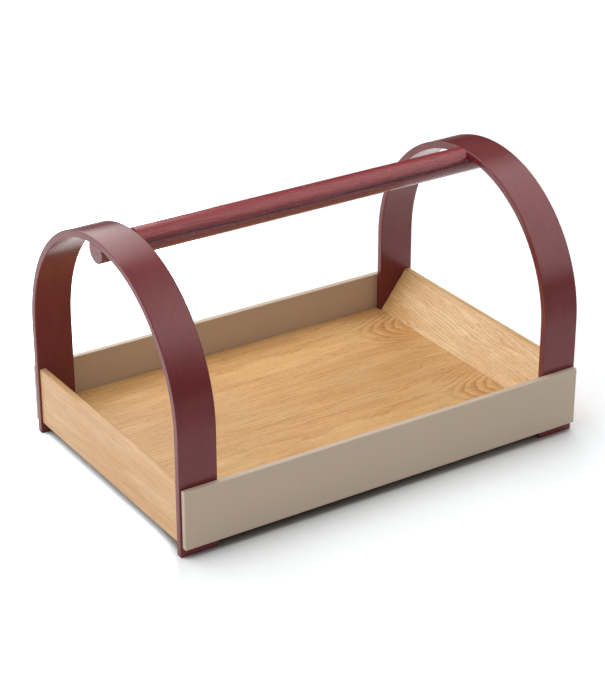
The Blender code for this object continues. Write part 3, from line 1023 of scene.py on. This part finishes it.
@dataclass
class Hoops:
    """The two hoops: flat bands of bent veneer, a half circle on two straight legs."""

    thickness: float = 0.007
    edge_radius: float = 0.0009
    foot_radius: float = 0.0007
    edge_steps: int = 4
    bend_points: int = 331
    screw_sink: float = 0.0003
    screws: Screws = field(default_factory=Screws)

    def tree(self) -> bpy.types.NodeTree:
        """Build the tree that sweeps a rounded flat section along legs and bend.

        Returns:
            The tree, with an input for each size.
        """
        lengths = dict.fromkeys(("Span", "Height", "Width", "Thickness", "Edge radius", "Foot", "Middle"),
                                "Float")
        tree, size = start_tree("bent_band", {**lengths, "Points": "Int", "Edge steps": "Int",
                                              "Finish": "Material"})
        add = partial(add_node, tree)
        outer = add(MATH, (size["Span"], 0.5), operation="MULTIPLY")
        spring = add(MATH, (size["Height"], outer), operation="SUBTRACT")
        radius = add(MATH, (size["Thickness"], -0.5, outer), operation="MULTIPLY_ADD")
        leg = add(MATH, (spring, size["Foot"]), operation="SUBTRACT")
        bend = add(MATH, (radius, math.pi), operation="MULTIPLY")
        whole = add(MATH, (leg, 2.0, bend), operation="MULTIPLY_ADD")

        index = add("GeometryNodeInputIndex")
        last = add(MATH, (size["Points"], 1.0), operation="SUBTRACT")
        share = add(MATH, (index, last), operation="DIVIDE")
        travel = add(MATH, (share, whole), operation="MULTIPLY")
        past_leg = add(MATH, (travel, leg), operation="SUBTRACT")
        turned = add(MATH, (past_leg, radius), operation="DIVIDE")
        angle = add("ShaderNodeClamp", {"Value": turned, "Min": 0.0, "Max": math.pi})
        before = add(MATH, (past_leg, 0.0), operation="MINIMUM")
        past_bend = add(MATH, (past_leg, bend), operation="SUBTRACT")
        after = add(MATH, (past_bend, 0.0), operation="MAXIMUM")
        cosine = add(MATH, (angle,), operation="COSINE")
        sine = add(MATH, (angle,), operation="SINE")
        back = add(MATH, (cosine, radius), operation="MULTIPLY")
        y = add(MATH, (back, -1.0), operation="MULTIPLY")
        crown = add(MATH, (sine, radius, spring), operation="MULTIPLY_ADD")
        rise = add(MATH, (before, after), operation="SUBTRACT")
        z = add(MATH, (crown, rise), operation="ADD")
        spot = add(COMBINE, (size["Middle"], y, z))

        line = add("GeometryNodeMeshLine", {"Count": size["Points"], "Offset": (0.0, 0.0, 0.0)})
        line = add("GeometryNodeSetPosition", {"Geometry": line, "Position": spot})
        rail = add("GeometryNodeMeshToCurve", {"Mesh": line})
        along = add("GeometryNodeStoreNamedAttribute", {"Geometry": rail, "Name": "travel", "Value": travel})
        section = add("GeometryNodeCurvePrimitiveQuadrilateral",
                      {"Width": size["Width"], "Height": size["Thickness"]})
        section = add("GeometryNodeFilletCurve",
                      {"Curve": section, "Count": size["Edge steps"], "Radius": size["Edge radius"]},
                      mode="POLY")
        position = add("GeometryNodeInputPosition")
        section = add("GeometryNodeStoreNamedAttribute",
                      {"Geometry": section, "Name": "section", "Value": position}, data_type="FLOAT_VECTOR")
        band = add("GeometryNodeCurveToMesh", {"Curve": along, "Profile Curve": section, "Fill Caps": True})

        run = add("GeometryNodeInputNamedAttribute", {"Name": "travel"})
        flat = add("GeometryNodeInputNamedAttribute", {"Name": "section"}, data_type="FLOAT_VECTOR")
        width, depth, _ = add(SEPARATE, (flat,)).outputs
        grain = add(COMBINE, (run, width, depth))
        grain = add(VECTOR, {0: grain, 3: PER_MM}, operation="SCALE")
        band = add("GeometryNodeStoreNamedAttribute",
                   {"Geometry": band, "Name": "grain", "Value": grain}, data_type="FLOAT_VECTOR")
        end_tree(tree, band, size["Finish"])
        return tree

    def band(self, name: str, tree: bpy.types.NodeTree, sizes: dict) -> bpy.types.Object:
        """Run the tree with this class's sizes and the given ones.

        Args:
            name: Name of the piece.
            tree: The band's tree.
            sizes: Span, Height, Width and Middle, and any size to use in place of the class's own.

        Returns:
            The band, with both feet flat.
        """
        own = {"Thickness": self.thickness, "Edge radius": self.edge_radius, "Foot": self.foot_radius,
               "Points": self.bend_points, "Edge steps": self.edge_steps, "Finish": HOOP_LACQUER.material()}
        return run_tree(name, tree, own | sizes)

    def build(self) -> None:
        """Make both hoops, round the edges of their feet and cut their screw holes."""
        tree = self.tree()
        for end in End:
            node = f"hoop_{end.word}"
            low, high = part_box(node)
            sizes = {"Span": high.y - low.y, "Height": high.z, "Width": high.x - low.x,
                     "Middle": (high.x + low.x) / 2}
            hoop = self.band(f"bent_hoop_{end.word}", tree, sizes)
            bm = bmesh.new()
            bm.from_mesh(hoop.data)
            bmesh.ops.recalc_face_normals(bm, faces=bm.faces)
            for foot in [face for face in bm.faces if len(face.verts) > 4]:
                round_cap(bm, foot, self.foot_radius, self.edge_steps)
            bm.to_mesh(hoop.data)
            bm.free()
            cut(hoop, self.screws.holes("leg", end, self.screw_sink) + self.screws.holes("handle", end, 0.0))
            smooth(hoop)
            fit_piece(hoop, HOOP_LACQUER, [node])


@dataclass
class Handle:
    """The round bar, notched at both ends to sit under the hoops' crowns."""

    end_radius: float = 0.001
    facets: int = 160
    end_steps: int = 5
    fit_gap: float = 0.0003
    cutter_wall: float = 0.02       # thickness of a notch's cutter, which reaches past the bar
    screw_sink: float = 0.003
    hoops: Hoops = field(default_factory=Hoops)
    screws: Screws = field(default_factory=Screws)

    def bar(self, low: Vector, high: Vector) -> bmesh.types.BMesh:
        """Make the round bar along X with eased ends.

        Args:
            low: Lowest corner of the bar's box.
            high: Highest corner.

        Returns:
            The bar as a closed mesh.
        """
        radius = (high.z - low.z) / 2
        centre = (low + high) / 2
        bm = bmesh.new()
        reach = (high.x - low.x) / 2 - self.end_radius
        for side in (-1, 1):
            disc = bmesh.ops.create_circle(bm, cap_ends=True, radius=radius, segments=self.facets)
            bmesh.ops.translate(bm, verts=disc["verts"], vec=(0, 0, side * reach))
        bottom, top = bm.faces
        bmesh.ops.bridge_loops(bm, edges=list(bottom.edges) + list(top.edges))
        bmesh.ops.recalc_face_normals(bm, faces=bm.faces)
        for cap in [face for face in bm.faces if len(face.verts) > 4]:
            round_cap(bm, cap, self.end_radius, self.end_steps)
        bm.transform(Matrix.Translation(centre) @ Matrix.Rotation(math.pi / 2, 4, "Y"))
        return bm

    def notch(self, end: End, tree: bpy.types.NodeTree, bar_end: float) -> bpy.types.Object:
        """Make the cutter of one notch, shaped like the crown that lies in it.

        Args:
            end: Which end of the bar.
            tree: The band's tree.
            bar_end: How far the bar reaches from the middle.

        Returns:
            The cutter.
        """
        low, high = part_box(f"hoop_{end.word}")
        shoulder = min(abs(low.x), abs(high.x)) - self.fit_gap
        far = bar_end + self.fit_gap
        inner_span = high.y - low.y - 2 * (self.hoops.thickness + self.fit_gap)
        wall = self.cutter_wall
        sizes = {"Span": inner_span + 2 * wall, "Height": high.z - self.hoops.thickness - self.fit_gap + wall,
                 "Width": far - shoulder, "Middle": end.value * (far + shoulder) / 2,
                 "Thickness": wall, "Edge radius": 0.0, "Foot": 0.0}
        return self.hoops.band(f"notch_{end.word}", tree, sizes)

    def build(self) -> None:
        """Make the bar and cut its notches and the holes for its screws."""
        low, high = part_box("handle")
        bar = new_object("round_handle", mesh_from("round_handle", self.bar(low, high)))
        tree = self.hoops.tree()
        for end in End:
            cut(bar, [self.notch(end, tree, high.x), *self.screws.holes("handle", end, self.screw_sink)])
        smooth(bar)
        fit_piece(bar, HANDLE_STAIN, ["handle"])


@dataclass
class EndBlocks:
    """The two oak end blocks: upright outside, sloping inside, rebated over the base board's tongue."""

    top_width: float = 0.006
    slope_run: float = 0.030
    skirt: float = 0.012
    edge_radius: float = 0.0012
    edge_steps: int = 5
    fit_gap: float = 0.0003
    tongue_drop: float = 0.002
    screws: Screws = field(default_factory=Screws)

    def build(self) -> None:
        """Make both blocks from one outline and cut their screw holes."""
        floor_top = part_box("base_board")[1].z
        seat = floor_top - self.tongue_drop + self.fit_gap
        for end in End:
            node = f"end_block_{end.word}"
            low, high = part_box(node)
            face = max(abs(low.x), abs(high.x))
            toe = face - self.top_width - self.slope_run
            outline = [(face, low.z), (face, high.z), (face - self.top_width, high.z), (toe, floor_top),
                       (toe, seat), (face - self.skirt, seat), (face - self.skirt, low.z)]
            soft = self.edge_radius
            points = rounded(outline, [soft, soft, soft, 0, 0, 0, soft], self.edge_steps)
            bm = bmesh.new()
            cap = bm.faces.new([bm.verts.new((end.value * x, low.y, z)) for x, z in points])
            grown = bmesh.ops.extrude_face_region(bm, geom=[cap])
            moved = [item for item in grown["geom"] if isinstance(item, bmesh.types.BMVert)]
            bmesh.ops.translate(bm, verts=moved, vec=(0, high.y - low.y, 0))
            bmesh.ops.recalc_face_normals(bm, faces=bm.faces)
            block = new_object(f"oak_end_block_{end.word}", mesh_from(node + "_block", bm))
            cut(block, self.screws.holes("leg", end, 0.0) + self.screws.holes("base", end, 0.0))
            smooth(block)
            fit_piece(block, END_OAK[end], [node])


@dataclass
class SidePanels:
    """The two painted side panels, eased all round, with a stopped groove for the base board's tongue."""

    edge_radius: float = 0.0010
    edge_steps: int = 5
    groove_depth: float = 0.0025
    tongue_drop: float = 0.002
    fit_gap: float = 0.0003

    def groove(self, side: Side, inner_face: float) -> bpy.types.Object:
        """Make the cutter of one panel's groove.

        Args:
            side: Which panel.
            inner_face: How far its inner face lies from the middle.

        Returns:
            The cutter.
        """
        hoop_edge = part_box("hoop_right")[0].x
        board_low, board_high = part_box("base_board")
        near = side.value * (inner_face - self.groove_depth)
        far = side.value * (inner_face + self.groove_depth)
        low = Vector((-hoop_edge, min(near, far), board_low.z - self.fit_gap))
        high = Vector((hoop_edge, max(near, far), board_high.z - self.tongue_drop + self.fit_gap))
        return new_object("groove", mesh_from("groove", box_between(low, high)))

    def build(self) -> None:
        """Make both panels."""
        for side in Side:
            node = f"side_panel_{side.word}"
            low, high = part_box(node)
            board = mesh_from(node + "_panel", box_between(low, high))
            panel = new_object(f"painted_panel_{side.word}", board)
            ease = panel.modifiers.new("eased_edges", "BEVEL")
            ease.width, ease.segments = self.edge_radius, self.edge_steps
            cut(panel, [self.groove(side, min(abs(low.y), abs(high.y)))])
            smooth(panel)
            fit_piece(panel, TAUPE_PAINT, [node])


@dataclass
class BaseBoard:
    """The oak base board, which keeps its own solid with its tongue and countersunk holes."""

    def build(self) -> None:
        """Give the board its oak."""
        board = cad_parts["base_board"]
        board.data.materials.clear()
        board.data.materials.append(FLOOR_OAK.material())
        log.info("%s: kept, %s", board.name, FLOOR_OAK.name)


def stand(name: str, data: bpy.types.ID, place: Iterable[float], back: Vector) -> bpy.types.Object:
    """Set up a lamp or a camera, upright.

    Args:
        name: Its name.
        data: Its light or its lens.
        place: Where it stands.
        back: Direction from what it looks at to itself.

    Returns:
        Its object.
    """
    made = new_object(name, data)
    made.location = place
    made.rotation_mode = "QUATERNION"
    made.rotation_quaternion = back.to_track_quat("Z", "Y")
    return made


@dataclass(frozen=True)
class Softbox:
    """A rectangular lamp that shows in the lacquer's reflections and casts no light of its own.

    Its level is its brightness in the middle, where 1 is white paper in full light.
    """

    name: str
    place: Point3
    aim: Point3
    width: float
    height: float
    level: float
    fade: Point                 # shares of the half width and half height over which it fades

    def build(self) -> None:
        """Hang the lamp, upright and facing its aim."""
        lamp = bpy.data.lights.new(self.name, "AREA")
        lamp.shape = "RECTANGLE"
        lamp.size, lamp.size_y = self.width, self.height
        lamp.energy = self.level * math.pi * self.width * self.height
        lamp.use_nodes = True
        tree = lamp.node_tree
        tree.nodes.clear()
        add = partial(add_node, tree)
        spot = add("ShaderNodeNewGeometry").outputs["Parametric"]
        spot = add(MAPPING, {"Vector": spot, "Location": (-1.0, -1.0, 0.0), "Scale": (2.0, 2.0, 0.0)})
        spot = add(VECTOR, (spot,), operation="ABSOLUTE")
        across, up, _ = add(SEPARATE, (spot,)).outputs
        glow = [add(RANGE, (reach, 1 - fade, 1.0, 1.0, 0.0), interpolation_type="SMOOTHSTEP")
                for reach, fade in zip((across, up), self.fade)]
        glow = add(MATH, (glow[0], glow[1]), operation="MULTIPLY")
        glow = add("ShaderNodeEmission", {"Color": linear("ffffff"), "Strength": glow})
        add("ShaderNodeOutputLight", {"Surface": glow})
        made = stand(self.name, lamp, self.place, Vector(self.place) - Vector(self.aim))
        made.visible_camera = False
        made.visible_diffuse = False


@dataclass(frozen=True)
class Lamp:
    """A far, broad lamp that lights everything from one side, with soft shadows.

    Its level is what it adds to a white surface that faces it.
    """

    name: str
    towards: Point3         # direction to it
    spread: float           # degrees of sky that it covers
    level: float
    shines: bool = True     # whether it also shows as a highlight

    def build(self) -> None:
        """Hang the lamp."""
        lamp = bpy.data.lights.new(self.name, "SUN")
        lamp.energy = self.level * math.pi
        lamp.angle = math.radians(self.spread)
        stand(self.name, lamp, (0.0, 0.0, 0.0), Vector(self.towards)).visible_glossy = self.shines


@dataclass
class Studio:
    """White paper floor, a soft sky, the lamps and the photograph's camera."""

    floor_radius: float = 12.0
    floor_facets: int = 64
    sky_level: float = 0.26
    sky_reflected: Point = (0.03, 0.4)      # its level in reflections, at the horizon and overhead
    sky_ramp: Point = (0.1, 1.0)            # heights between which that changes
    elevation: float = math.radians(26.57)  # the camera's place and lens are solved from the photograph
    distance: float = 2.07852
    target: Point3 = (0.0, 0.0, 0.090)
    lens: float = 110.685
    shift: Point = (-0.0032, -0.00353)
    lamps: tuple[Softbox | Lamp, ...] = (
        Lamp("key_lamp", (-0.01, 0.34, 0.92), 80, 0.87, shines=False),
        Lamp("left_lamp", (-0.95, 0.10, 0.20), 60, 0.34),
        Lamp("front_lamp", (0.38, -0.92, 0.0), 40, 0.10, shines=False),
        Softbox("back_softbox", (-0.45, 0.74, 0.835), (-0.45, 0.0, 0.19), 1.86, 1.5, 3.0, (0.35, 0.55)),
        Softbox("side_softbox", (1.5, -0.6, 1.38), (0.0, 0.0, 0.1), 4.3, 3.3, 2.05, (0.58, 0.62)))

    def floor(self) -> None:
        """Lay the paper that the tray stands on."""
        bm = bmesh.new()
        bmesh.ops.create_circle(bm, cap_ends=True, radius=self.floor_radius, segments=self.floor_facets)
        floor = new_object("studio_floor", mesh_from("studio_floor", bm))
        floor.data.materials.append(STUDIO_PAPER.material())

    def sky(self) -> None:
        """Light the room evenly, with white behind the tray and a darker room in its reflections."""
        world = bpy.data.worlds.new("studio_sky")
        bpy.context.scene.world = world
        world.use_nodes = True
        tree = world.node_tree
        tree.nodes.clear()
        add = partial(add_node, tree)
        path = add("ShaderNodeLightPath").outputs
        height = add(SEPARATE, (add("ShaderNodeTexCoord").outputs["Generated"],)).outputs["Z"]
        reflected = add(RANGE, (height, *self.sky_ramp, *self.sky_reflected))
        level = add(MIX, {0: path["Is Glossy Ray"], 2: self.sky_level, 3: reflected})
        level = add(MIX, {0: path["Is Camera Ray"], 2: level, 3: 1.0})
        sky = add("ShaderNodeBackground", {"Color": linear("ffffff"), "Strength": level})
        add("ShaderNodeOutputWorld", {"Surface": sky})

    def camera(self) -> None:
        """Set the camera at the photograph's viewing angle."""
        lens = bpy.data.cameras.new("camera")
        lens.lens = self.lens
        lens.shift_x, lens.shift_y = self.shift
        flat = math.cos(self.elevation)
        back = Vector((math.sin(CAMERA_AZIMUTH) * flat, -math.cos(CAMERA_AZIMUTH) * flat,
                       math.sin(self.elevation)))
        place = Vector(self.target) + back * self.distance
        bpy.context.scene.camera = stand("camera", lens, place, back)

    def build(self) -> None:
        """Make the floor, the light and the camera."""
        self.floor()
        self.sky()
        for lamp in self.lamps:
            lamp.build()
        self.camera()
        bpy.context.scene.view_settings.view_transform = "Standard"
        log.info("studio: floor, sky, %d lamps and camera", len(self.lamps))


def main() -> None:
    """Build the tray's pieces in order, then the studio."""
    logging.basicConfig(level=logging.INFO, format="%(name)s: %(message)s")
    for part in (Hoops(), Handle(), BaseBoard(), EndBlocks(), SidePanels(), Screws(), Studio()):
        part.build()


if __name__ == "__main__":
    main()
